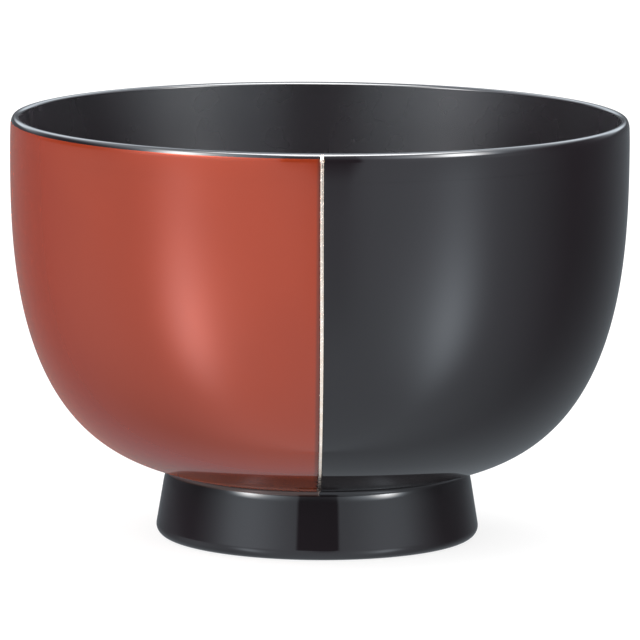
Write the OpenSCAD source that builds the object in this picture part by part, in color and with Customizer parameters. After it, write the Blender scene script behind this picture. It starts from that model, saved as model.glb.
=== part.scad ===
// Deep lacquered soup bowl on a flared foot ring.
// The turned wood is one piece. Lacquer coats close over it: black inside, on the lip and on
// the foot, and outside one half red and one half black, parted by a pale line.
// The origin is at the table, on the bowl's axis, with +Z up. The red half lies towards -X.

/* [Bowl] */
// Outside diameter at the rim, coats included
rim_d = 112; // [104:0.5:120]
// Height from the table to the top of the lip
bowl_h = 76.5; // [70:0.5:84]
// Thickness of the lip, coats included, which is also the width that its rounding takes
lip_t = 1.7; // [1.4:0.05:2.4]
// Height of the upright band of wall between the lip's rounding and the belly
band_h = 4.15; // [2:0.05:8]
// Height above the table where the belly's outer curve would close, inside the foot
belly_lift = 10.8; // [9.8:0.1:12.5]
// Thickness from there up to the bottom of the inside
belly_t = 3.6; // [2.8:0.1:5]
// How far the inside draws in, most of it just under the lip, so that the wall thickens downwards
inside_draw = 4; // [0:0.1:6]

/* [Foot] */
// Diameter where the belly's outer curve turns down onto the foot
joint_d = 56.2; // [53:0.1:58]
// Radius of the cove in that corner
cove_r = 0.5; // [0.4:0.05:1.2]
// Height over which the foot's wall rounds in towards the cove
shoulder_h = 2.7; // [1:0.1:4]
// Radius of that rounding
shoulder_r = 12; // [8:0.5:18]
// Largest diameter of the foot, near the table
foot_d = 58.6; // [56:0.1:64]
// Rounding of the foot's lower outer edge
foot_edge_r = 1.8; // [0.8:0.05:2.2]
// Thickness of the foot ring at the table
foot_wall_t = 3.6; // [3.5:0.05:6]
// Thickness of the foot ring at the ceiling of the hollow
foot_neck_t = 3.4; // [2.4:0.05:5]
// Rounding of the foot's lower inner edge
hollow_edge_r = 0.6; // [0.5:0.05:1.1]
// Height of the hollow under the bowl
hollow_h = 8.4; // [6:0.1:9.4]
// Fillet between the hollow's wall and its ceiling
hollow_fillet_r = 2; // [1:0.1:3]

/* [Lacquer] */
// Thickness of each coat, ground layers included
coat_t = 0.3; // [0.2:0.02:0.4]
// Width of the pale line between the two outer coats
seam_w = 0.75; // [0.5:0.05:2]
// How far the pale line stands proud of the coats
seam_rise = 0.1; // [0.04:0.01:0.25]

/* [Hidden] */

// Squareness of the belly's curve across the bowl and in depth; 2 and 2 would give an ellipse
across_power = 3.77;
depth_power = 2.66;
// How far the cutting blocks run past the bowl
overrun = 2;
// Straight steps along the belly, the lip's half round and each rounding of the foot
belly_steps = 26;
lip_steps = 12;
foot_steps = 5;

rim_r = rim_d / 2;
lip_r = lip_t / 2;
lip_z = bowl_h - lip_r;
lip_centre = [rim_r - lip_r, lip_z];
spring_z = lip_z - band_h;
outer_depth = spring_z - belly_lift;
inner_depth = outer_depth - belly_t;

// The inside wall leans from the lip on; inner_r is its radius at the spring line of the belly
inside_lean = atan(2 * inside_draw / inner_depth);
inside_top = lip_centre + lip_r * heading(180 - inside_lean);
inner_r = inside_top.x - (inside_top.y - spring_z) * tan(inside_lean);

// The belly's outer curve ends at the joint, where the cove turns down onto the foot
joint_r = joint_d / 2;
joint_turn = acos(pow(joint_r / rim_r, across_power / 2));
joint = belly_point(rim_r, 0, outer_depth, joint_turn);
joint_normal = belly_normal(rim_r, 0, outer_depth, joint_turn);
joint_heading = atan2(joint_normal.y, joint_normal.x);
cove_centre = joint + cove_r * joint_normal;

// The foot's shoulder starts under the cove, turned up from the slope of the foot as a whole
foot_top_lean = atan2(foot_d / 2 - joint_r, joint.y) + asin(shoulder_h / shoulder_r);
foot_top = cove_centre - cove_r * heading(foot_top_lean);
shoulder_centre = foot_top - shoulder_r * heading(foot_top_lean);

// The foot's outer wall is the straight line that touches its shoulder and its lower edge
foot_edge_centre = [foot_d / 2 - foot_edge_r, foot_edge_r];
foot_lean = square_to_tangent(shoulder_centre, foot_edge_centre, shoulder_r - foot_edge_r);

// The hollow's wall is the straight line that touches its lower edge and its ceiling fillet
hollow_edge_centre = [foot_d / 2 - foot_wall_t + hollow_edge_r, hollow_edge_r];
foot_wall_r = shoulder_centre.x
    + (shoulder_r - (hollow_h - shoulder_centre.y) * sin(foot_lean)) / cos(foot_lean);
fillet_centre = [foot_wall_r - foot_neck_t - hollow_fillet_r, hollow_h - hollow_fillet_r];
hollow_lean = square_to_tangent(hollow_edge_centre, fillet_centre, hollow_edge_r + hollow_fillet_r);

block_reach = rim_r + overrun;
block_h = bowl_h + 2 * overrun;

black_lacquer = [0.16, 0.15, 0.17];
red_lacquer = [0.68, 0.29, 0.25];
pale_metal = [0.87, 0.82, 0.75];
turned_wood = [0.70, 0.53, 0.35];

$fn = 96;

function heading(angle) = [cos(angle), sin(angle)];

// The direction square to the line that touches two arcs, from the difference of their radii
function square_to_tangent(from, to, radii) =
    let (run = to - from)
    atan2(run.y, run.x) + acos(radii / norm(run));

// Half the belly's width before its curve closes, at a share of its depth
function belly_width(across, draw, depth_share) = across - draw * (1 - pow(1 - depth_share, 2));

// A point of the belly's curve, from the spring line at turn 0 to the axis at turn 90
function belly_point(across, draw, depth, turn) =
    let (depth_share = pow(sin(turn), 2 / depth_power))
    [
        belly_width(across, draw, depth_share) * pow(cos(turn), 2 / across_power),
        spring_z - depth * depth_share,
    ];

// The unit direction square to the belly's curve there, away from the bowl's inside
function belly_normal(across, draw, depth, turn) =
    let (
        across_share = pow(cos(turn), 2 / across_power),
        depth_share = pow(sin(turn), 2 / depth_power),
        width = belly_width(across, draw, depth_share),
        steep = across_power / width * pow(across_share, across_power - 1),
        flat = depth_power / depth * pow(depth_share, depth_power - 1),
        taper = 2 * draw / depth * (1 - depth_share),
        slope = [steep, -flat - taper * across_share * steep]
    )
    slope / norm(slope);

// The belly's curve, sunk by a thickness square to itself
function belly_curve(across, draw, depth, sink, last_turn) = [
    for (step = [0 : belly_steps])
        let (turn = last_turn * step / belly_steps)
        belly_point(across, draw, depth, turn) - sink * belly_normal(across, draw, depth, turn)
];

// An arc that may change its radius evenly on the way
function arc(centre, radii, start, end, steps) = [
    for (step = [0 : steps])
        let (share = step / steps)
        centre + (radii[0] + (radii[1] - radii[0]) * share) * heading(start + (end - start) * share)
];
function round_arc(centre, radius, start, end, steps) = arc(centre, [radius, radius], start, end, steps);

function after_first(points) = [for (step = [1 : len(points) - 1]) points[step]];
function reversed(points) = [for (step = [len(points) - 1 : -1 : 0]) points[step]];

// The outside from the lip through the cove; its sink may change within the cove
function outer_wall(sink, last_sink) = concat(
    [[rim_r - sink, lip_z]],
    belly_curve(rim_r, 0, outer_depth, sink, joint_turn),
    after_first(arc(
        cove_centre,
        [cove_r + sink, cove_r + last_sink],
        joint_heading + 180,
        foot_top_lean + 180,
        foot_steps
    ))
);

// The inside from the lip down to the axis
function inner_wall(sink) = concat(
    [lip_centre + (lip_r - sink) * heading(180 - inside_lean)],
    belly_curve(inner_r, inside_draw, inner_depth, -sink, 90)
);
function lip_round(sink) = round_arc(lip_centre, lip_r - sink, 180 - inside_lean, 0, lip_steps);

// The foot from the cove down, under the ring and up the hollow to the axis
function foot_outside(sink) = concat(
    round_arc(shoulder_centre, shoulder_r - sink, foot_top_lean, foot_lean, foot_steps),
    round_arc(foot_edge_centre, foot_edge_r - sink, foot_lean, -90, foot_steps),
    round_arc(hollow_edge_centre, hollow_edge_r - sink, 270, hollow_lean, foot_steps),
    round_arc(fillet_centre, hollow_fillet_r + sink, hollow_lean - 180, 90, foot_steps),
    [[0, hollow_h + sink]]
);

// A block of all that lies between two upright planes, given by their places along X
module block_between(low_x, high_x) {
    translate([low_x, -block_reach, -overrun])
        cube([high_x - low_x, 2 * block_reach, block_h]);
}

module outer_coat() {
    rotate_extrude()
        polygon(concat(outer_wall(0, 0), reversed(outer_wall(coat_t, coat_t))));
}

// The pale line stands proud of the coats down to the cove, where it comes down to their level
module seam_line() {
    intersection() {
        rotate_extrude()
            polygon(concat(outer_wall(-seam_rise, 0), reversed(outer_wall(coat_t, coat_t))));
        translate([-seam_w / 2, -block_reach, -overrun])
            cube([seam_w, block_reach, block_h]);
    }
}

module wood_body() {
    color(turned_wood)
        rotate_extrude()
            polygon(concat(
                lip_round(coat_t),
                after_first(outer_wall(coat_t, coat_t)),
                after_first(foot_outside(coat_t)),
                reversed(after_first(inner_wall(coat_t)))
            ));
}

module inner_lacquer() {
    color(black_lacquer)
        rotate_extrude()
            polygon(concat(inner_wall(0), reversed(inner_wall(coat_t))));
}

module rim_lacquer() {
    color(black_lacquer)
        rotate_extrude()
            polygon(concat(lip_round(0), reversed(lip_round(coat_t))));
}

module red_outer_lacquer() {
    color(red_lacquer)
        intersection() {
            outer_coat();
            block_between(-block_reach, -seam_w / 2);
        }
}

module black_outer_lacquer() {
    color(black_lacquer)
        intersection() {
            outer_coat();
            block_between(seam_w / 2, block_reach);
        }
}

module front_seam_line() {
    color(pale_metal)
        seam_line();
}

module rear_seam_line() {
    color(pale_metal)
        mirror([0, 1, 0])
            seam_line();
}

module foot_lacquer() {
    color(black_lacquer)
        rotate_extrude()
            polygon(concat(foot_outside(0), reversed(foot_outside(coat_t))));
}

wood_body();
inner_lacquer();
rim_lacquer();
red_outer_lacquer();
black_outer_lacquer();
front_seam_line();
rear_seam_line();
foot_lacquer();
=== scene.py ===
# Looks of the deep lacquered soup bowl on its foot ring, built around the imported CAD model.
# Metres, the CAD frame: the origin is at the table on the bowl's axis, +Z up, camera towards -Y.
import math
import bmesh
import bpy
from mathutils import Matrix, Vector


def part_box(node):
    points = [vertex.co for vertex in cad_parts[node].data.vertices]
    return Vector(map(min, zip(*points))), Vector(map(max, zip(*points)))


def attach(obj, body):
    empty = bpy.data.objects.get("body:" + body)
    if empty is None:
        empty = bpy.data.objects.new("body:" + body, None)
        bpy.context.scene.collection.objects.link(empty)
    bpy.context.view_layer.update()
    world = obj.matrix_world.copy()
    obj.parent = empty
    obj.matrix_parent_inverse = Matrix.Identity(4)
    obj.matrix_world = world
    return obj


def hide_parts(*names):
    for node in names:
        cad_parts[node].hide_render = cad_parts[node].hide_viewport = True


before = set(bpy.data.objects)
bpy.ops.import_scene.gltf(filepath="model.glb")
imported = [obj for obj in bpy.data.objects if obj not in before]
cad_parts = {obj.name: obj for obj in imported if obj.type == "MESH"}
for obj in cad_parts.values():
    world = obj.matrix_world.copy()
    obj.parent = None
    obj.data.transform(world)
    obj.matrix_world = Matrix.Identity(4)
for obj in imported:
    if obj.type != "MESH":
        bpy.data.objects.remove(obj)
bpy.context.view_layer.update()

MM = 0.001

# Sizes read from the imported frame
RIM_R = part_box("black_outer_lacquer")[1].x
SEAM_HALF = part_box("black_outer_lacquer")[0].x
BOWL_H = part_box("rim_lacquer")[1].z
LIP_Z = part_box("rim_lacquer")[0].z
FOOT_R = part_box("foot_lacquer")[1].x
LIP_R = BOWL_H - LIP_Z

# Sizes that the frame's boxes don't show
COAT_T = 0.3 * MM
BAND_H = 4.15 * MM
BELLY_LIFT = 10.8 * MM
BELLY_T = 3.6 * MM
INSIDE_DRAW = 4 * MM
ACROSS_POWER = 3.77
DEPTH_POWER = 2.66
JOINT_R = 28.1 * MM
SHOULDER_H = 2.7 * MM
SHOULDER_R = 12 * MM
FOOT_EDGE_R = 1.8 * MM
FOOT_WALL_T = 3.6 * MM
FOOT_NECK_T = 3.4 * MM
HOLLOW_EDGE_R = 0.6 * MM
HOLLOW_H = 8.4 * MM
HOLLOW_FILLET_R = 2 * MM
SEAM_RISE = 0.1 * MM

# Finer than the CAD: the lip's wide outer rounding, a wall that leans in under it, a wider cove
LIP_EDGE_R = 3 * MM
LIP_EDGE_TURN = 25
COAT_TOP_TURN = 15
WALL_TOP_R = 80 * MM
WALL_TOP_TURN = 2.5
COVE_R = 0.75 * MM

# The pale line: its trim on each side, its bow off the middle, and how far over the lip it runs
SEAM_TRIM = 0.045 * MM
SEAM_BOW = 0.11 * MM
SEAM_BOW_Z = 55 * MM
SEAM_BOW_REACH = 45 * MM
SEAM_TOP_TURN = 38

# The pale line's section, in shares of its half width and rise, and how it thins out in the cove
SEAM_CREST = -0.25
SEAM_RED_SIDE = -0.35
SEAM_BLACK_SIDE_FALL = 0.2
SEAM_SIDE_DROP = 0.2 * MM
SEAM_SIDE_POWER = 14
SEAM_END_SHARE = 0.03
SEAM_END_REACH = 0.4

# The groove between the pale line and each outer coat, and the coat's rounded edge
GROOVE_W = 0.09 * MM
GROOVE_DEPTH = 0.24 * MM
GROOVE_WALL_W = 0.004 * MM
COAT_EDGE_R = 0.06 * MM

# Steps of the meshes, and how close to the axis a point counts as on it
COLUMNS = 256
BELLY_STEPS = 130
LIP_STEPS = 28
LIP_EDGE_STEPS = 3
ROUND_STEPS = 14
COAT_EDGE_STEPS = 5
SEAM_STEPS = 22
ON_AXIS = 1e-7

# Columns beyond an outer coat's edge, in widths of that edge, and angles that stay sharp
WIDENING_COLUMNS = (1.5, 2.5, 5, 9)
COAT_SHARP_ANGLE = 35
SEAM_SHARP_ANGLE = 70

# Colours, of which each finish passes between two
BLACK_TONES = ((0.0095, 0.0058, 0.0080, 1), (0.0080, 0.0050, 0.0066, 1))
INSIDE_TONES = ((0.0085, 0.0065, 0.0080, 1), (0.0070, 0.0060, 0.0070, 1))
RED_TONES = ((0.385, 0.0405, 0.0080, 1), (0.360, 0.0375, 0.0080, 1))
METAL_TONES = ((0.90, 0.71, 0.57, 1), (0.98, 0.82, 0.70, 1))
WOOD_TONES = ((0.42, 0.25, 0.12, 1), (0.60, 0.40, 0.22, 1))
FLOOR_TONES = ((0.26, 0.26, 0.26, 1), (0.28, 0.28, 0.28, 1))
# Painted reflection that greys the black coats just above the foot
BLACK_PAINTED_REFLECTION_BY_FOOT = (0.030, 0.027, 0.029, 1)
# Painted shade with a painted reflection that browns the red just above the foot
RED_PAINTED_SHADE_BY_FOOT = (0.262, 0.054, 0.020, 1)
# Painted shade in the cove at the foot and beside the pale line
RED_PAINTED_SHADE = (0.055, 0.025, 0.019, 1)
RED_METAL_TINT = (1.0, 0.30, 0.10, 1)
RED_SHEEN_TINT = (1.0, 0.16, 0.03, 1)
STUDIO_TINT = (0.90, 1.0, 1.09, 1)
WHITE = (1, 1, 1, 1)

# Where the outer coats' painted shade and painted reflection start and are full: heights over the joint,
# and distances from the pale line
BY_FOOT_START = 6.5 * MM
BY_FOOT_FULL = 2.8 * MM
BLACK_BY_FOOT_END = 0.6 * MM
COVE_SHADE_START = 0.6 * MM
COVE_SHADE_FULL = 0.2 * MM
LINE_SHADE_START = 0.8 * MM
LINE_SHADE_FULL = 0.2 * MM
LINE_SHADE = 0.6

# The middle part of the noise's values, which the finishes use
NOISE_ENDS = (0.3, 0.7)

# Gloss and relief of the finishes
BLACK_ROUGHNESS = (0.02, 0.05)
INSIDE_ROUGHNESS = (0.26, 0.28)
RED_ROUGHNESS = (0.19, 0.24)
METAL_ROUGHNESS = (0.16, 0.3)
WOOD_ROUGHNESS = (0.5, 0.65)
LACQUER_IOR = 1.5
RED_BASE_IOR = 1.25
WAVE_DEPTH = 0.004 * MM
GRAIN_DEPTH = 0.0002 * MM
METAL_DEPTH = 0.006 * MM
WOOD_DEPTH = 0.05 * MM

# Light on matt surfaces, the floor and the lamps
LIGHT_FROM_ABOVE = 1.5
LIGHT_FROM_BELOW = 0.45
ROOM_HORIZON = (-10, 10)
FLOOR_GLOW = 0.75
FLOOR_REACH = 3.0
FLOOR_CORNERS = 64
LAMP_DISTANCE = 1.1
LAMP_SIZE = 0.8
SIDE_LAMP_POWER = 2.5
FILL_LAMP_POWER = 12
TOP_LAMP_POWER = 3

# What gloss mirrors: a pair is a hill's middle and width, a ramp's start and end, or its two values
# AROUND is in degrees rightwards from the front, ASIDE in degrees to either side, RISE in degrees up
# ACROSS is rightwards and FORWARD frontwards, in parts of the direction's length

# The table and the wall to its left
TABLE_IN_FRONT = 1.05
TABLE_STRAIGHT_DOWN = 0.74
TABLE_AT_BACK = (0.13, 0.19)
TABLE_ASIDE = (48, 112)
TABLE_BACK_ASIDE = (118, 150)
TABLE_RISE = (-85, -4)
LEFT_WALL = 0.44
LEFT_WALL_AROUND = (-100, 17)
LEFT_WALL_RISE = (-60, -15)
LEFT_WALL_TOP_RISE = (-6, 0)
GAP = -0.35
GAP_AROUND = (5, 7)
GAP_RISE = (-42, -6)
SPOTS = 1.55
SPOTS_ASIDE = (53, 7)
SPOTS_RISE = (-25, 11.5)
GLOWS = (0.35, 0.65)
GLOWS_ASIDE = (44, 11)
GLOWS_AROUND = (-20, 20)

# The panels and the upright lamps
PANELS = 0.7
PANELS_START_ASIDE = (13.5, 16.5)
PANELS_END_ASIDE = (62, 105)
PANEL_MIDDLES = (0.95, 0.55)
PANEL_MIDDLES_ASIDE = (51, 18)
PANELS_ACROSS = (-0.4, 0.4)
MIRRORED_LAMPS = (21, 23)
LAMPS_ACROSS = (-0.3, 0.3)
LAMPS_ASIDE = (56, 7)
LAMPS_START_RISE = (14, 24)
LAMPS_END_RISE = (31, 38)
HALO = 0.12
HALO_ASIDE = (44, 12)

# The walls, and the ceiling with a strip whose ACROSS is to either side
DIMMEST = 0.16
WALLS = 3
WALLS_RISE = (16, 40)
WALLS_IN_FRONT = 0.25
WALLS_FRONT_ASIDE = (20, 60)
WALLS_AT_BACK = 0.3
WALLS_BACK_ASIDE = (150, 172)
CORNERS = 2.5
CORNERS_ASIDE = (155, 13)
CORNERS_RISE = (4, 14)
UPPER_LEFT = 2
UPPER_LEFT_AROUND = (-52, 14)
UPPER_LEFT_RISE = (37, 7)
CEILING = (2.6, 4.2)
CEILING_ACROSS = (-0.3, 0.3)
CEILING_RISE = (45, 57)
CEILING_DIP = 8
CEILING_DIP_AROUND = (-8, 14)
STRIP = (25, 3)
STRIP_ACROSS = (0.35, 0.7)
STRIP_FORWARD = (-0.03, 0.1)
STRIP_SLANT = 0.3

# The horizon, lower close to the middle of the front, and the brightness at which the tint fades
HORIZON = (-5, 4)
HORIZON_DIP = 4.5
HORIZON_DIP_ASIDE = (9, 16)
HORIZON_DIP_ON_LEFT = 0.3
HORIZON_DIP_AROUND = (-8, 2)
TINT_FADES = (2, 9)
TINT_OF_BRIGHTEST = 0.15

# Camera, fitted to the photograph's outline and pale line; angles in degrees
TARGET = Vector((0.25, 0, 39.24)) * MM
CAMERA_DISTANCE = 1294.8 * MM
CAMERA_AROUND = -0.54
CAMERA_RISE = 8.39
CAMERA_ROLL = 0.42
CAMERA_LENS = 401.35
SENSOR_W = 36
NEAREST = 0.01
FARTHEST = 20

SPRING_Z = LIP_Z - BAND_H
LIP_CENTRE = Vector((RIM_R - LIP_R, LIP_Z))
OUTER_DEPTH = SPRING_Z - BELLY_LIFT
INNER_DEPTH = OUTER_DEPTH - BELLY_T
INSIDE_LEAN = math.degrees(math.atan(2 * INSIDE_DRAW / INNER_DEPTH))


def heading(degrees):
    """The unit direction at an angle from the outward horizontal."""
    return Vector((math.cos(math.radians(degrees)), math.sin(math.radians(degrees))))


INWARD = heading(180 - INSIDE_LEAN)
INSIDE_TOP = LIP_CENTRE + LIP_R * INWARD
INNER_R = INSIDE_TOP.x - (INSIDE_TOP.y - SPRING_Z) * math.tan(math.radians(INSIDE_LEAN))

# The lip's round touches the inside wall, the bowl's full height and the wide rounding outside
EDGE_HEADING = heading(LIP_EDGE_TURN)
WALL_TOP_REACH = (WALL_TOP_R - LIP_EDGE_R) * heading(WALL_TOP_TURN)
EDGE_X = RIM_R - WALL_TOP_R + WALL_TOP_REACH.x
EDGE_OVERHANG = EDGE_X + LIP_EDGE_R * EDGE_HEADING.x - LIP_CENTRE.x
LIP_SPAN = LIP_R * (1 - INWARD.y) - EDGE_OVERHANG * INWARD.x
ROUND_R = LIP_SPAN / (1 - EDGE_HEADING.x * INWARD.x - INWARD.y)
EDGE_CENTRE = Vector((EDGE_X, BOWL_H - ROUND_R - (LIP_EDGE_R - ROUND_R) * EDGE_HEADING.y))
WALL_TOP_CENTRE = EDGE_CENTRE - WALL_TOP_REACH
ROUND_CENTRE = EDGE_CENTRE + (LIP_EDGE_R - ROUND_R) * EDGE_HEADING
SEAM_TOP = heading(SEAM_TOP_TURN)


def belly_width(across, draw, depth_share):
    """Half the belly's width before its curve closes, at a share of its depth."""
    return across - draw * (1 - (1 - depth_share) ** 2)


def belly_point(across, draw, depth, turn):
    """A point of the belly's curve, from the spring line at turn 0 to the axis at a quarter turn."""
    depth_share = math.sin(turn) ** (2 / DEPTH_POWER)
    r = belly_width(across, draw, depth_share) * abs(math.cos(turn)) ** (2 / ACROSS_POWER)
    return Vector((r, SPRING_Z - depth * depth_share))


def belly_normal(across, draw, depth, turn):
    """The unit direction square to the belly's curve there, away from the bowl's inside."""
    across_share = abs(math.cos(turn)) ** (2 / ACROSS_POWER)
    depth_share = math.sin(turn) ** (2 / DEPTH_POWER)
    steep = ACROSS_POWER / belly_width(across, draw, depth_share) * across_share ** (ACROSS_POWER - 1)
    flat = DEPTH_POWER / depth * depth_share ** (DEPTH_POWER - 1)
    taper = 2 * draw / depth * (1 - depth_share)
    return Vector((steep, -flat - taper * across_share * steep)).normalized()


def belly_curve(across, draw, depth, sink, last_turn):
    """The belly's curve, sunk by a thickness square to itself."""
    points = []
    for step in range(BELLY_STEPS + 1):
        turn = last_turn * step / BELLY_STEPS
        normal = belly_normal(across, draw, depth, turn)
        points.append(belly_point(across, draw, depth, turn) - sink * normal)
    return points


def arc(centre, radius, start, end, steps):
    """Points of an arc between two headings in degrees."""
    return [centre + radius * heading(start + (end - start) * step / steps) for step in range(steps + 1)]


def tangent_lean(start, end, radii):
    """The direction, in degrees, square to the line that touches two arcs about start and end."""
    run = end - start
    return math.degrees(math.atan2(run.y, run.x) + math.acos(radii / run.length))


# The belly's curve ends at the joint, where a small cove turns down onto the foot
JOINT_TURN = math.acos((JOINT_R / RIM_R) ** (ACROSS_POWER / 2))
JOINT = belly_point(RIM_R, 0, OUTER_DEPTH, JOINT_TURN)
JOINT_NORMAL = belly_normal(RIM_R, 0, OUTER_DEPTH, JOINT_TURN)
JOINT_HEADING = math.degrees(math.atan2(JOINT_NORMAL.y, JOINT_NORMAL.x))
COVE_CENTRE = JOINT + COVE_R * JOINT_NORMAL
FOOT_TOP_LEAN = math.degrees(math.atan2(FOOT_R - JOINT_R, JOINT.y) + math.asin(SHOULDER_H / SHOULDER_R))
FOOT_TOP = COVE_CENTRE - COVE_R * heading(FOOT_TOP_LEAN)

# The foot's outer wall is the straight line that touches its shoulder and its lower edge
SHOULDER_CENTRE = FOOT_TOP - SHOULDER_R * heading(FOOT_TOP_LEAN)
FOOT_EDGE_CENTRE = Vector((FOOT_R - FOOT_EDGE_R, FOOT_EDGE_R))
FOOT_LEAN = tangent_lean(SHOULDER_CENTRE, FOOT_EDGE_CENTRE, SHOULDER_R - FOOT_EDGE_R)


def foot_wall_r(z):
    """The radius of the foot's outer wall at a height."""
    lean = math.radians(FOOT_LEAN)
    return SHOULDER_CENTRE.x + (SHOULDER_R - (z - SHOULDER_CENTRE.y) * math.sin(lean)) / math.cos(lean)


# The hollow's wall is the straight line that touches its lower edge and its ceiling fillet
HOLLOW_EDGE_CENTRE = Vector((FOOT_R - FOOT_WALL_T + HOLLOW_EDGE_R, HOLLOW_EDGE_R))
FILLET_X = foot_wall_r(HOLLOW_H) - FOOT_NECK_T - HOLLOW_FILLET_R
FILLET_CENTRE = Vector((FILLET_X, HOLLOW_H - HOLLOW_FILLET_R))
HOLLOW_LEAN = tangent_lean(HOLLOW_EDGE_CENTRE, FILLET_CENTRE, HOLLOW_EDGE_R + HOLLOW_FILLET_R)


def foot_outside(sink):
    """The foot from its top under the cove, under the ring and up the hollow to the axis."""
    return (
        arc(SHOULDER_CENTRE, SHOULDER_R - sink, FOOT_TOP_LEAN, FOOT_LEAN, ROUND_STEPS)
        + arc(FOOT_EDGE_CENTRE, FOOT_EDGE_R - sink, FOOT_LEAN, -90, ROUND_STEPS)
        + arc(HOLLOW_EDGE_CENTRE, HOLLOW_EDGE_R - sink, 270, HOLLOW_LEAN, ROUND_STEPS)
        + arc(FILLET_CENTRE, HOLLOW_FILLET_R + sink, HOLLOW_LEAN - 180, 90, ROUND_STEPS)
        + [Vector((0, HOLLOW_H + sink))]
    )


def lip_outside(sink):
    """The lip from the top of the inside wall over to the top of the outer coats."""
    over = arc(ROUND_CENTRE, ROUND_R - sink, 180 - INSIDE_LEAN, LIP_EDGE_TURN, LIP_STEPS)
    down = arc(EDGE_CENTRE, LIP_EDGE_R - sink, LIP_EDGE_TURN, COAT_TOP_TURN, LIP_EDGE_STEPS)
    return over + down[1:]


def inside_wall(sink):
    """The inside from the lip down to the axis."""
    top = ROUND_CENTRE + (ROUND_R - sink) * INWARD
    return [top] + belly_curve(INNER_R, INSIDE_DRAW, INNER_DEPTH, -sink, math.pi / 2)


def finished_piece(name, points, faces, material, slot, node, sharp_angle):
    """Makes a closed mesh into a smooth-shaded piece that stands for a CAD node and rides with it."""
    mesh = bpy.data.meshes.new(name)
    mesh.from_pydata(points, [], faces)
    shell = bmesh.new()
    shell.from_mesh(mesh)
    bmesh.ops.recalc_face_normals(shell, faces=shell.faces)
    shell.to_mesh(mesh)
    shell.free()
    mesh.shade_smooth()
    mesh.set_sharp_from_angle(angle=math.radians(sharp_angle))
    mesh.materials.append(material)
    piece = bpy.data.objects.new(name, mesh)
    bpy.context.scene.collection.objects.link(piece)
    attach(piece, "root")
    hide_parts(node)


def turned_rings(loop, points):
    """Adds the points of a loop turned once around the axis, and gives the places of each ring."""
    rings = []
    for point in loop:
        start = len(points)
        if point.x < ON_AXIS:
            points.append((0, 0, point.y))
            rings.append([start] * COLUMNS)
            continue
        rings.append(list(range(start, start + COLUMNS)))
        for column in range(COLUMNS):
            angle = 2 * math.pi * column / COLUMNS
            points.append((point.x * math.cos(angle), point.x * math.sin(angle), point.y))
    return rings


def turned_coat(name, outline, material, slot, node):
    """A coat turned from its outline, which is a function of how deep it lies under the surface."""
    points = []
    faces = []
    rings = turned_rings(outline(0) + outline(COAT_T)[::-1], points)
    for index, ring in enumerate(rings):
        following = rings[(index + 1) % len(rings)]
        for column in range(COLUMNS):
            beside = (column + 1) % COLUMNS
            corners = [ring[column], ring[beside], following[beside], following[column]]
            corners = list(dict.fromkeys(corners))
            if len(corners) > 2:
                faces.append(corners)
    finished_piece(name, points, faces, material, slot, node, COAT_SHARP_ANGLE)


def edge_drop(distance, groove_depth):
    """How far a coat lies below its face at a distance from the pale line: groove, then round edge."""
    if distance < GROOVE_W - GROOVE_WALL_W / 2:
        return groove_depth
    share = max(0, 1 - (distance - GROOVE_W) / COAT_EDGE_R)
    return COAT_EDGE_R * (1 - math.sqrt(1 - min(1, share) ** 2))


def edge_distances():
    """Distances from the pale line that follow the groove and the coat's rounded edge."""
    distances = [0, GROOVE_W - GROOVE_WALL_W]
    for step in range(COAT_EDGE_STEPS + 1):
        turn = math.pi / 2 * step / COAT_EDGE_STEPS
        distances.append(GROOVE_W + COAT_EDGE_R * (1 - math.cos(turn)))
    return distances


def outer_rows():
    """Rows of the outer coats from the lip down to the foot: each a place and its outward direction."""
    rows = []
    for step in range(ROUND_STEPS):
        outward = heading(COAT_TOP_TURN + (WALL_TOP_TURN - COAT_TOP_TURN) * step / ROUND_STEPS)
        rows.append((EDGE_CENTRE + LIP_EDGE_R * outward, outward))
    for step in range(ROUND_STEPS + 1):
        outward = heading(WALL_TOP_TURN * (1 - step / ROUND_STEPS))
        rows.append((WALL_TOP_CENTRE + WALL_TOP_R * outward, outward))
    for step in range(BELLY_STEPS + 1):
        turn = JOINT_TURN * step / BELLY_STEPS
        outward = belly_normal(RIM_R, 0, OUTER_DEPTH, turn)
        rows.append((belly_point(RIM_R, 0, OUTER_DEPTH, turn), outward))
    sweep = FOOT_TOP_LEAN - JOINT_HEADING
    for step in range(1, ROUND_STEPS + 1):
        outward = heading(JOINT_HEADING + sweep * step / ROUND_STEPS)
        rows.append((COVE_CENTRE - COVE_R * outward, outward))
    return rows


def seam_rows():
    """The coats' rows, with more above them that take the pale line up over the lip."""
    rows = []
    for step in range(ROUND_STEPS + 1):
        outward = heading(SEAM_TOP_TURN + (LIP_EDGE_TURN - SEAM_TOP_TURN) * step / ROUND_STEPS)
        rows.append((ROUND_CENTRE + ROUND_R * outward, outward))
    return rows + outer_rows()


def seam_share(place):
    """The share of the pale line's full size at a row: it runs out to a thin end within the cove."""
    into_cove = (JOINT.y - place.y) / (JOINT.y - FOOT_TOP.y)
    return 1 - (1 - SEAM_END_SHARE) * min(1, max(0, into_cove / SEAM_END_REACH))


def seam_half(place):
    """Half the pale line's width at a row."""
    return (SEAM_HALF - SEAM_TRIM) * seam_share(place)


def seam_shift(place):
    """How far the pale line lies off the middle at a row, towards +X."""
    return SEAM_BOW * math.sin(math.pi * (SEAM_BOW_Z - place.y) / SEAM_BOW_REACH)


def swept_shell(rings):
    """Points and faces of a closed tube through rings of equal length, with a strip over each end."""
    size = len(rings[0])
    points = [point for ring in rings for point in ring]
    faces = []
    for row in range(len(rings) - 1):
        start = row * size
        for place in range(size):
            beside = (place + 1) % size
            faces.append((start + place, start + beside, start + size + beside, start + size + place))
    for start in (0, (len(rings) - 1) * size):
        for place in range(size // 2 - 1):
            far = size - 1 - place
            faces.append((start + place, start + place + 1, start + far - 1, start + far))
    return points, faces


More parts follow.
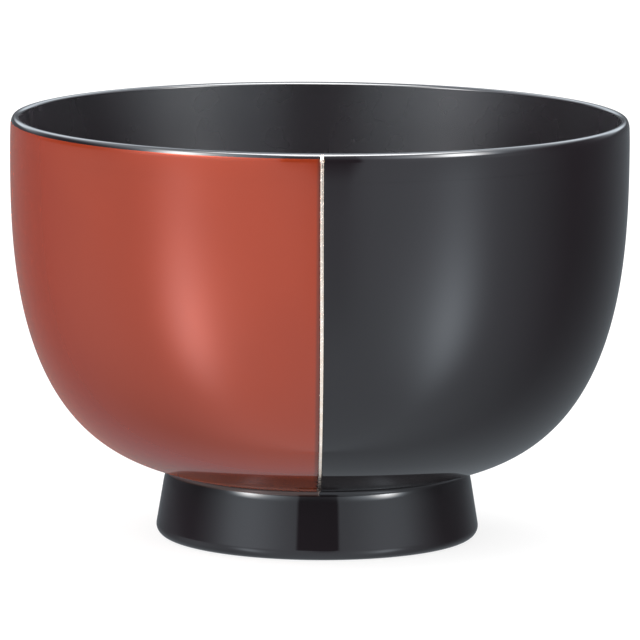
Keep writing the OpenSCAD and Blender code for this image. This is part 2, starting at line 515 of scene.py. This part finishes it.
def half_angles(radius, gap):
    """Angles from the camera's side around one half, closely spaced at both of its edges."""
    edge_w = GROOVE_W + COAT_EDGE_R
    distances = edge_distances() + [edge_w * times for times in WIDENING_COLUMNS]
    near = [math.asin((gap + distance) / radius) for distance in distances]
    far = [math.pi - angle for angle in near[::-1]]
    steps = COLUMNS // 2
    between = math.pi - 2 * near[-1]
    middle = [near[-1] + between * step / steps for step in range(1, steps)]
    return near + middle + far


def half_coat(name, side, material, slot, node):
    """One half of the outer coat; side is -1 for the half towards -X and 1 for the other."""
    rings = []
    for place, outward in outer_rows():
        gap = seam_half(place) + side * seam_shift(place)
        groove_depth = GROOVE_DEPTH * seam_share(place)
        face = []
        back = []
        for angle in half_angles(place.x, gap):
            drop = edge_drop(max(place.x * math.sin(angle) - gap, 0), groove_depth)
            for points, sink in ((face, drop), (back, COAT_T)):
                spot = place - sink * outward
                x = max(spot.x * math.sin(angle), gap)
                points.append((side * x, -spot.x * math.cos(angle), spot.y))
        rings.append(face + back[::-1])
    finished_piece(name, *swept_shell(rings), material, slot, node, COAT_SHARP_ANGLE)


def seam_height(across, proud):
    """How high the pale line stands at a share across it, from -1 on the red side to 1."""
    sides = SEAM_SIDE_DROP * abs(across) ** SEAM_SIDE_POWER
    if across < SEAM_CREST:
        share = (across + 1) / (SEAM_CREST + 1)
        height = SEAM_RED_SIDE + (1 - SEAM_RED_SIDE) * math.sin(share * math.pi / 2)
    else:
        share = (across - SEAM_CREST) / (1 - SEAM_CREST)
        height = 1 - SEAM_BLACK_SIDE_FALL * share ** 2
    return proud * height - sides


def seam_line(name, side, material, slot, node):
    """The pale line on one side of the bowl; side is -1 towards the camera and 1 at the back."""
    rings = []
    for place, outward in seam_rows():
        # Up over the lip the line comes down to the level of the coats
        proud = SEAM_RISE * seam_share(place) * (1 - max(0, outward.y / SEAM_TOP.y))
        face = []
        back = []
        for step in range(SEAM_STEPS + 1):
            across = -math.cos(math.pi * step / SEAM_STEPS)
            x = seam_half(place) * across + seam_shift(place)
            for points, rise in ((face, seam_height(across, proud)), (back, -COAT_T)):
                spot = place + rise * outward
                points.append((x, side * math.sqrt(spot.x ** 2 - x ** 2), spot.y))
        rings.append(face + back[::-1])
    finished_piece(name, *swept_shell(rings), material, slot, node, SEAM_SHARP_ANGLE)


def new_material(name):
    """A material, its node tree and its shader."""
    material = bpy.data.materials.new(name)
    material.use_nodes = True
    tree = material.node_tree
    return material, tree, tree.nodes["Principled BSDF"]


def give(tree, socket, value):
    """Gives a socket a number, a colour or the output of another node."""
    if isinstance(value, bpy.types.NodeSocket):
        tree.links.new(value, socket)
    else:
        socket.default_value = value


def maths(tree, operation, *values):
    """One maths node; each value is a number or the output of another node."""
    node = tree.nodes.new("ShaderNodeMath")
    node.operation = operation
    for socket, value in zip(node.inputs, values):
        give(tree, socket, value)
    return node.outputs["Value"]


def product(tree, *values):
    """All the values multiplied."""
    total = values[0]
    for value in values[1:]:
        total = maths(tree, "MULTIPLY", total, value)
    return total


def total_of(tree, *values):
    """All the values added."""
    total = values[0]
    for value in values[1:]:
        total = maths(tree, "ADD", total, value)
    return total


def ramp(tree, value, start, end, low, high):
    """Passes smoothly from low to high as the value goes from start to end."""
    node = tree.nodes.new("ShaderNodeMapRange")
    node.interpolation_type = "SMOOTHSTEP"
    give(tree, node.inputs["Value"], value)
    give(tree, node.inputs["From Min"], start)
    give(tree, node.inputs["From Max"], end)
    give(tree, node.inputs["To Min"], low)
    give(tree, node.inputs["To Max"], high)
    return node.outputs["Result"]


def hill(tree, value, centre, width):
    """A bell curve of height 1 about a centre; its width is that of one standard deviation."""
    share = maths(tree, "DIVIDE", maths(tree, "SUBTRACT", value, centre), width)
    square = maths(tree, "MULTIPLY", share, share)
    return maths(tree, "EXPONENT", maths(tree, "MULTIPLY", square, -0.5))


def crossed(tree, share, first, second):
    """Passes from the first value to the second as a share goes from 0 to 1."""
    rest = maths(tree, "SUBTRACT", 1, share)
    return total_of(tree, product(tree, first, rest), product(tree, second, share))


def mixed_colour(tree, share, first, second):
    """Passes from the first colour to the second as a share goes from 0 to 1."""
    node = tree.nodes.new("ShaderNodeMix")
    node.data_type = "RGBA"
    give(tree, node.inputs["Factor"], share)
    give(tree, node.inputs["A"], first)
    give(tree, node.inputs["B"], second)
    return node.outputs["Result"]


def coordinates(tree, kind):
    """X, Y and Z of a place in the object's own space, or of a direction of the world."""
    place = tree.nodes.new("ShaderNodeTexCoord")
    parts = tree.nodes.new("ShaderNodeSeparateXYZ")
    tree.links.new(place.outputs[kind], parts.inputs["Vector"])
    return parts.outputs["X"], parts.outputs["Y"], parts.outputs["Z"]


def noise(tree, scale, detail=2, stretch=(1, 1, 1)):
    """Smooth noise through the object's own space; scale is in cycles per metre."""
    place = tree.nodes.new("ShaderNodeTexCoord")
    mapping = tree.nodes.new("ShaderNodeMapping")
    mapping.inputs["Scale"].default_value = stretch
    texture = tree.nodes.new("ShaderNodeTexNoise")
    texture.inputs["Scale"].default_value = scale
    texture.inputs["Detail"].default_value = detail
    tree.links.new(place.outputs["Object"], mapping.inputs["Vector"])
    tree.links.new(mapping.outputs["Vector"], texture.inputs["Vector"])
    return texture.outputs["Fac"]


def spread(tree, value, low, high):
    """Maps noise, which stays near a half, onto a range of values."""
    return ramp(tree, value, *NOISE_ENDS, low, high)


def mottled(tree, value, tones):
    """A colour that passes between two tones with the noise."""
    return mixed_colour(tree, spread(tree, value, 0, 1), *tones)


def relief(tree, *heights):
    """The surface direction after a chain of bumps, each a pair of a height and its depth."""
    normal = None
    for height, depth in heights:
        node = tree.nodes.new("ShaderNodeBump")
        node.inputs["Distance"].default_value = depth
        tree.links.new(height, node.inputs["Height"])
        if normal:
            tree.links.new(normal, node.inputs["Normal"])
        normal = node.outputs["Normal"]
    return normal


def polished_waves(tree):
    """The slight unevenness that polishing leaves: long waves and a faint grain."""
    waves = noise(tree, scale=45, detail=1)
    grain = noise(tree, scale=900, detail=1)
    return relief(tree, (waves, WAVE_DEPTH), (grain, GRAIN_DEPTH))


def foot_painted_light_mask(tree, z):
    """Rises from 0 to 1 as the belly comes down to the foot: where the painted shade and painted
    reflection by the foot show.
    """
    return ramp(tree, z, JOINT.y + BY_FOOT_START, JOINT.y + BY_FOOT_FULL, 0, 1)


def black_lacquer():
    """Polished black lacquer, with a painted reflection that makes it a little greyer on the belly's
    last part above the foot.
    """
    material, tree, shader = new_material("black_lacquer_finish")
    z = coordinates(tree, "Object")[2]
    # Painted reflection: greyer black on the belly's last part above the foot
    on_belly = ramp(tree, z, JOINT.y, JOINT.y + BLACK_BY_FOOT_END, 0, 1)
    painted_reflection_share = product(tree, foot_painted_light_mask(tree, z), on_belly)
    tone = mottled(tree, noise(tree, scale=35), BLACK_TONES)
    give(tree, shader.inputs["Base Color"], mixed_colour(tree, painted_reflection_share, tone, BLACK_PAINTED_REFLECTION_BY_FOOT))
    give(tree, shader.inputs["Roughness"], spread(tree, noise(tree, scale=160), *BLACK_ROUGHNESS))
    give(tree, shader.inputs["Normal"], polished_waves(tree))
    shader.inputs["IOR"].default_value = LACQUER_IOR
    return material


def inner_lacquer():
    """Black lacquer of a softer gloss, for the inside."""
    material, tree, shader = new_material("inner_lacquer_finish")
    give(tree, shader.inputs["Base Color"], mottled(tree, noise(tree, scale=35), INSIDE_TONES))
    give(tree, shader.inputs["Roughness"], spread(tree, noise(tree, scale=120), *INSIDE_ROUGHNESS))
    shader.inputs["IOR"].default_value = LACQUER_IOR
    return material


def red_with_painted_shade(tree):
    """Red, with painted shade and a painted reflection that make it browner just above the foot, and
    painted shade that darkens it beside the pale line and in the cove under the foot's black.
    """
    x, _, z = coordinates(tree, "Object")
    tone = mottled(tree, noise(tree, scale=40), RED_TONES)
    # Painted shade with a painted reflection: browner red just above the foot
    foot_shaded_tone = mixed_colour(tree, foot_painted_light_mask(tree, z), tone, RED_PAINTED_SHADE_BY_FOOT)
    # Painted shade in the cove where the red meets the foot
    cove_shade = ramp(tree, z, JOINT.y + COVE_SHADE_START, JOINT.y + COVE_SHADE_FULL, 0, 1)
    # Painted shade on the red beside the pale line
    shade_start = -SEAM_HALF - LINE_SHADE_START
    shade_full = -SEAM_HALF - LINE_SHADE_FULL
    line_shade_share = ramp(tree, x, shade_start, shade_full, 0, LINE_SHADE)
    return mixed_colour(tree, maths(tree, "MAXIMUM", cove_shade, line_shade_share), foot_shaded_tone, RED_PAINTED_SHADE)


def red_lacquer():
    """Red pigment with a faint glint of its own under clear polished lacquer."""
    material, tree, shader = new_material("red_lacquer_finish")
    give(tree, shader.inputs["Base Color"], red_with_painted_shade(tree))
    give(tree, shader.inputs["Roughness"], spread(tree, noise(tree, scale=220), *RED_ROUGHNESS))
    give(tree, shader.inputs["Coat Normal"], polished_waves(tree))
    shader.inputs["Metallic"].default_value = 0.4
    shader.inputs["IOR"].default_value = RED_BASE_IOR
    shader.inputs["Specular Tint"].default_value = RED_METAL_TINT
    shader.inputs["Coat Weight"].default_value = 1
    shader.inputs["Coat Roughness"].default_value = 0.035
    shader.inputs["Coat IOR"].default_value = LACQUER_IOR
    shader.inputs["Sheen Weight"].default_value = 0.25
    shader.inputs["Sheen Roughness"].default_value = 0.3
    shader.inputs["Sheen Tint"].default_value = RED_SHEEN_TINT
    return material


def seam_metal():
    """Burnished pale metal powder with a fine grain."""
    material, tree, shader = new_material("seam_metal_finish")
    give(tree, shader.inputs["Base Color"], mottled(tree, noise(tree, scale=700), METAL_TONES))
    give(tree, shader.inputs["Roughness"], spread(tree, noise(tree, scale=1500), *METAL_ROUGHNESS))
    grain = noise(tree, scale=2500, detail=1)
    give(tree, shader.inputs["Normal"], relief(tree, (grain, METAL_DEPTH)))
    shader.inputs["Metallic"].default_value = 1
    return material


def turned_wood():
    """Bare turned wood, with its grain running up the bowl."""
    material, tree, shader = new_material("turned_wood_finish")
    grain = noise(tree, scale=90, detail=4, stretch=(1, 1, 0.12))
    give(tree, shader.inputs["Base Color"], mottled(tree, grain, WOOD_TONES))
    give(tree, shader.inputs["Roughness"], spread(tree, grain, *WOOD_ROUGHNESS))
    give(tree, shader.inputs["Normal"], relief(tree, (grain, WOOD_DEPTH)))
    return material


def direction_angles(tree):
    """A direction as degrees around from the front and of rise, and its rightward and forward parts."""
    right, backward, up = coordinates(tree, "Generated")
    forward = maths(tree, "MULTIPLY", backward, -1)
    around = maths(tree, "DEGREES", maths(tree, "ARCTAN2", right, forward))
    rise = maths(tree, "DEGREES", maths(tree, "ARCSINE", up))
    return around, rise, right, forward


def table_spots(tree, around, aside, rise):
    """Bright spots on the table to each side, with a wider glow about them."""
    spots = product(tree, hill(tree, aside, *SPOTS_ASIDE), SPOTS)
    glow_strength = ramp(tree, around, *GLOWS_AROUND, *GLOWS)
    glow = product(tree, hill(tree, aside, *GLOWS_ASIDE), glow_strength)
    return product(tree, hill(tree, rise, *SPOTS_RISE), total_of(tree, spots, glow))


def table_left_wall(tree, around, rise):
    """A pale wall to the left of the table, which ends under the horizon."""
    return product(
        tree,
        hill(tree, around, *LEFT_WALL_AROUND),
        ramp(tree, rise, *LEFT_WALL_RISE, 0, LEFT_WALL),
        ramp(tree, rise, *LEFT_WALL_TOP_RISE, 1, 0),
    )


def table_light(tree, around, aside, rise):
    """What gloss mirrors below the horizon: a pale table, darker at the back and in a gap in front."""
    far_table = ramp(tree, aside, *TABLE_BACK_ASIDE, *TABLE_AT_BACK)
    back = ramp(tree, rise, *TABLE_RISE, TABLE_STRAIGHT_DOWN, far_table)
    table = ramp(tree, aside, *TABLE_ASIDE, TABLE_IN_FRONT, back)
    left_wall = table_left_wall(tree, around, rise)
    gap = product(tree, hill(tree, around, *GAP_AROUND), ramp(tree, rise, *GAP_RISE, 0, GAP))
    return total_of(tree, table, left_wall, gap, table_spots(tree, around, aside, rise))


def pale_panels(tree, aside, right):
    """Two wide pale panels, one to each side of the front, brightest in the middle."""
    middle_strength = ramp(tree, right, *PANELS_ACROSS, *PANEL_MIDDLES)
    middles = product(tree, hill(tree, aside, *PANEL_MIDDLES_ASIDE), middle_strength)
    return product(
        tree,
        ramp(tree, aside, *PANELS_START_ASIDE, 0, 1),
        ramp(tree, aside, *PANELS_END_ASIDE, 1, 0),
        total_of(tree, middles, PANELS),
    )


def mirrored_lamps(tree, aside, rise, right):
    """Two upright lamps with a faint halo, which make the highlight on each half."""
    halo = product(tree, hill(tree, aside, *HALO_ASIDE), HALO)
    return product(
        tree,
        total_of(tree, hill(tree, aside, *LAMPS_ASIDE), halo),
        ramp(tree, rise, *LAMPS_START_RISE, 0, 1),
        ramp(tree, rise, *LAMPS_END_RISE, 1, 0),
        ramp(tree, right, *LAMPS_ACROSS, *MIRRORED_LAMPS),
    )


def room_walls(tree, around, aside, rise):
    """Walls that brighten upwards, with bright back corners and a bright place at the upper left."""
    walls = product(
        tree,
        ramp(tree, rise, *WALLS_RISE, 0, WALLS),
        ramp(tree, aside, *WALLS_FRONT_ASIDE, WALLS_IN_FRONT, 1),
        ramp(tree, aside, *WALLS_BACK_ASIDE, 1, WALLS_AT_BACK),
    )
    corners = product(
        tree,
        ramp(tree, rise, *CORNERS_RISE, 0, CORNERS),
        hill(tree, aside, *CORNERS_ASIDE),
    )
    upper_left = product(
        tree,
        hill(tree, around, *UPPER_LEFT_AROUND),
        hill(tree, rise, *UPPER_LEFT_RISE),
        UPPER_LEFT,
    )
    return total_of(tree, walls, corners, upper_left)


def ceiling_light(tree, right, forward):
    """The ceiling, with a bright strip over the front that is dimmer towards its ends."""
    slanted = total_of(tree, forward, product(tree, right, STRIP_SLANT))
    strip = product(
        tree,
        ramp(tree, slanted, *STRIP_FORWARD, 0, 1),
        ramp(tree, maths(tree, "ABSOLUTE", right), *STRIP_ACROSS, *STRIP),
    )
    return total_of(tree, strip, ramp(tree, right, *CEILING_ACROSS, *CEILING))


def studio_light(tree, around, aside, rise, right, forward):
    """What gloss mirrors above the horizon; the ceiling starts lower in front than elsewhere."""
    low = total_of(
        tree,
        pale_panels(tree, aside, right),
        mirrored_lamps(tree, aside, rise, right),
        room_walls(tree, around, aside, rise),
        DIMMEST,
    )
    dip = product(tree, hill(tree, around, *CEILING_DIP_AROUND), CEILING_DIP)
    overhead = ramp(tree, total_of(tree, rise, dip), *CEILING_RISE, 0, 1)
    return crossed(tree, overhead, low, ceiling_light(tree, right, forward))


def mirrored_light(tree, around, rise, right, forward):
    """What gloss mirrors all round: the table, and the studio from the horizon up."""
    aside = maths(tree, "ABSOLUTE", around)
    table = table_light(tree, around, aside, rise)
    studio = studio_light(tree, around, aside, rise, right, forward)
    dip = product(
        tree,
        ramp(tree, aside, *HORIZON_DIP_ASIDE, HORIZON_DIP, 0),
        ramp(tree, around, *HORIZON_DIP_AROUND, HORIZON_DIP_ON_LEFT, 1),
    )
    above = ramp(tree, total_of(tree, rise, dip), *HORIZON, 0, 1)
    return crossed(tree, above, table, studio)


def studio_world():
    """The light from all round: gloss mirrors the studio, and matt surfaces get plain room light."""
    world = bpy.data.worlds.new("studio")
    bpy.context.scene.world = world
    world.use_nodes = True
    world.cycles.sampling_method = "NONE"
    tree = world.node_tree
    around, rise, right, forward = direction_angles(tree)
    mirrored = mirrored_light(tree, around, rise, right, forward)
    mirror_ray = tree.nodes.new("ShaderNodeLightPath").outputs["Is Glossy Ray"]
    room = ramp(tree, rise, *ROOM_HORIZON, LIGHT_FROM_BELOW, LIGHT_FROM_ABOVE)
    tinted = product(tree, mirror_ray, ramp(tree, mirrored, *TINT_FADES, 1, TINT_OF_BRIGHTEST))
    background = tree.nodes["Background"]
    give(tree, background.inputs["Color"], mixed_colour(tree, tinted, WHITE, STUDIO_TINT))
    give(tree, background.inputs["Strength"], crossed(tree, mirror_ray, room, mirrored))


def studio_floor():
    """A round pale floor under the bowl."""
    material, tree, shader = new_material("studio_floor_finish")
    give(tree, shader.inputs["Base Color"], mottled(tree, noise(tree, scale=3), FLOOR_TONES))
    shader.inputs["Emission Color"].default_value = WHITE
    shader.inputs["Emission Strength"].default_value = FLOOR_GLOW
    shader.inputs["Roughness"].default_value = 0.9
    shader.inputs["Specular IOR Level"].default_value = 0
    rim = []
    for corner in range(FLOOR_CORNERS):
        angle = 2 * math.pi * corner / FLOOR_CORNERS
        rim.append((FLOOR_REACH * math.cos(angle), FLOOR_REACH * math.sin(angle), 0))
    mesh = bpy.data.meshes.new("studio_floor")
    mesh.from_pydata(rim, [], [tuple(range(FLOOR_CORNERS))])
    mesh.materials.append(material)
    floor = bpy.data.objects.new("studio_floor", mesh)
    bpy.context.scene.collection.objects.link(floor)
    floor.visible_glossy = False
    floor.visible_diffuse = False


def direction(around, rise):
    """The unit direction at degrees around from the front, rightwards, and degrees of rise."""
    around = math.radians(around)
    rise = math.radians(rise)
    level = math.cos(rise)
    return Vector((level * math.sin(around), -level * math.cos(around), math.sin(rise)))


def lamp(name, around, rise, power):
    """A soft square lamp aimed at the bowl, seen by matt surfaces only."""
    light = bpy.data.lights.new(name, "AREA")
    light.size = LAMP_SIZE
    light.energy = power
    lamp_object = bpy.data.objects.new(name, light)
    bpy.context.scene.collection.objects.link(lamp_object)
    towards = direction(around, rise)
    lamp_object.location = towards * LAMP_DISTANCE
    lamp_object.rotation_euler = towards.to_track_quat("Z", "Y").to_euler()
    lamp_object.visible_glossy = False
    lamp_object.visible_camera = False


def camera():
    """The camera that takes the photograph's view."""
    data = bpy.data.cameras.new("camera")
    data.sensor_width = SENSOR_W
    data.lens = CAMERA_LENS
    data.clip_start = NEAREST
    data.clip_end = FARTHEST
    back = direction(CAMERA_AROUND, CAMERA_RISE)
    around = math.radians(CAMERA_AROUND)
    right = Vector((math.cos(around), math.sin(around), 0))
    up = back.cross(right)
    roll = Matrix.Rotation(math.radians(CAMERA_ROLL), 3, "Z")
    turn = Matrix((right, up, back)).transposed() @ roll
    eye = bpy.data.objects.new("camera", data)
    eye.matrix_world = Matrix.Translation(TARGET + CAMERA_DISTANCE * back) @ turn.to_4x4()
    bpy.context.scene.collection.objects.link(eye)
    bpy.context.scene.camera = eye


def bowl():
    """The seven coats over the CAD's wood, each in the place of its CAD node."""
    black = black_lacquer()
    inside = inner_lacquer()
    red = red_lacquer()
    metal = seam_metal()
    turned_coat("inner_coat", inside_wall, inside, "black_lacquer", "inner_lacquer")
    turned_coat("rim_coat", lip_outside, black, "black_lacquer", "rim_lacquer")
    turned_coat("foot_coat", foot_outside, black, "black_lacquer", "foot_lacquer")
    half_coat("red_coat", -1, red, "red_lacquer", "red_outer_lacquer")
    half_coat("black_coat", 1, black, "black_lacquer", "black_outer_lacquer")
    seam_line("front_line", -1, metal, "seam_metal", "front_seam_line")
    seam_line("rear_line", 1, metal, "seam_metal", "rear_seam_line")
    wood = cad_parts["wood_body"].data
    wood.materials.clear()
    wood.materials.append(turned_wood())


bowl()
studio_floor()
studio_world()
lamp("left_lamp", around=-50, rise=40, power=SIDE_LAMP_POWER)
lamp("right_lamp", around=50, rise=40, power=SIDE_LAMP_POWER)
lamp("fill_lamp", around=-125, rise=10, power=FILL_LAMP_POWER)
lamp("top_lamp", around=0, rise=88, power=TOP_LAMP_POWER)
camera()
bpy.context.scene.view_settings.view_transform = "Standard"
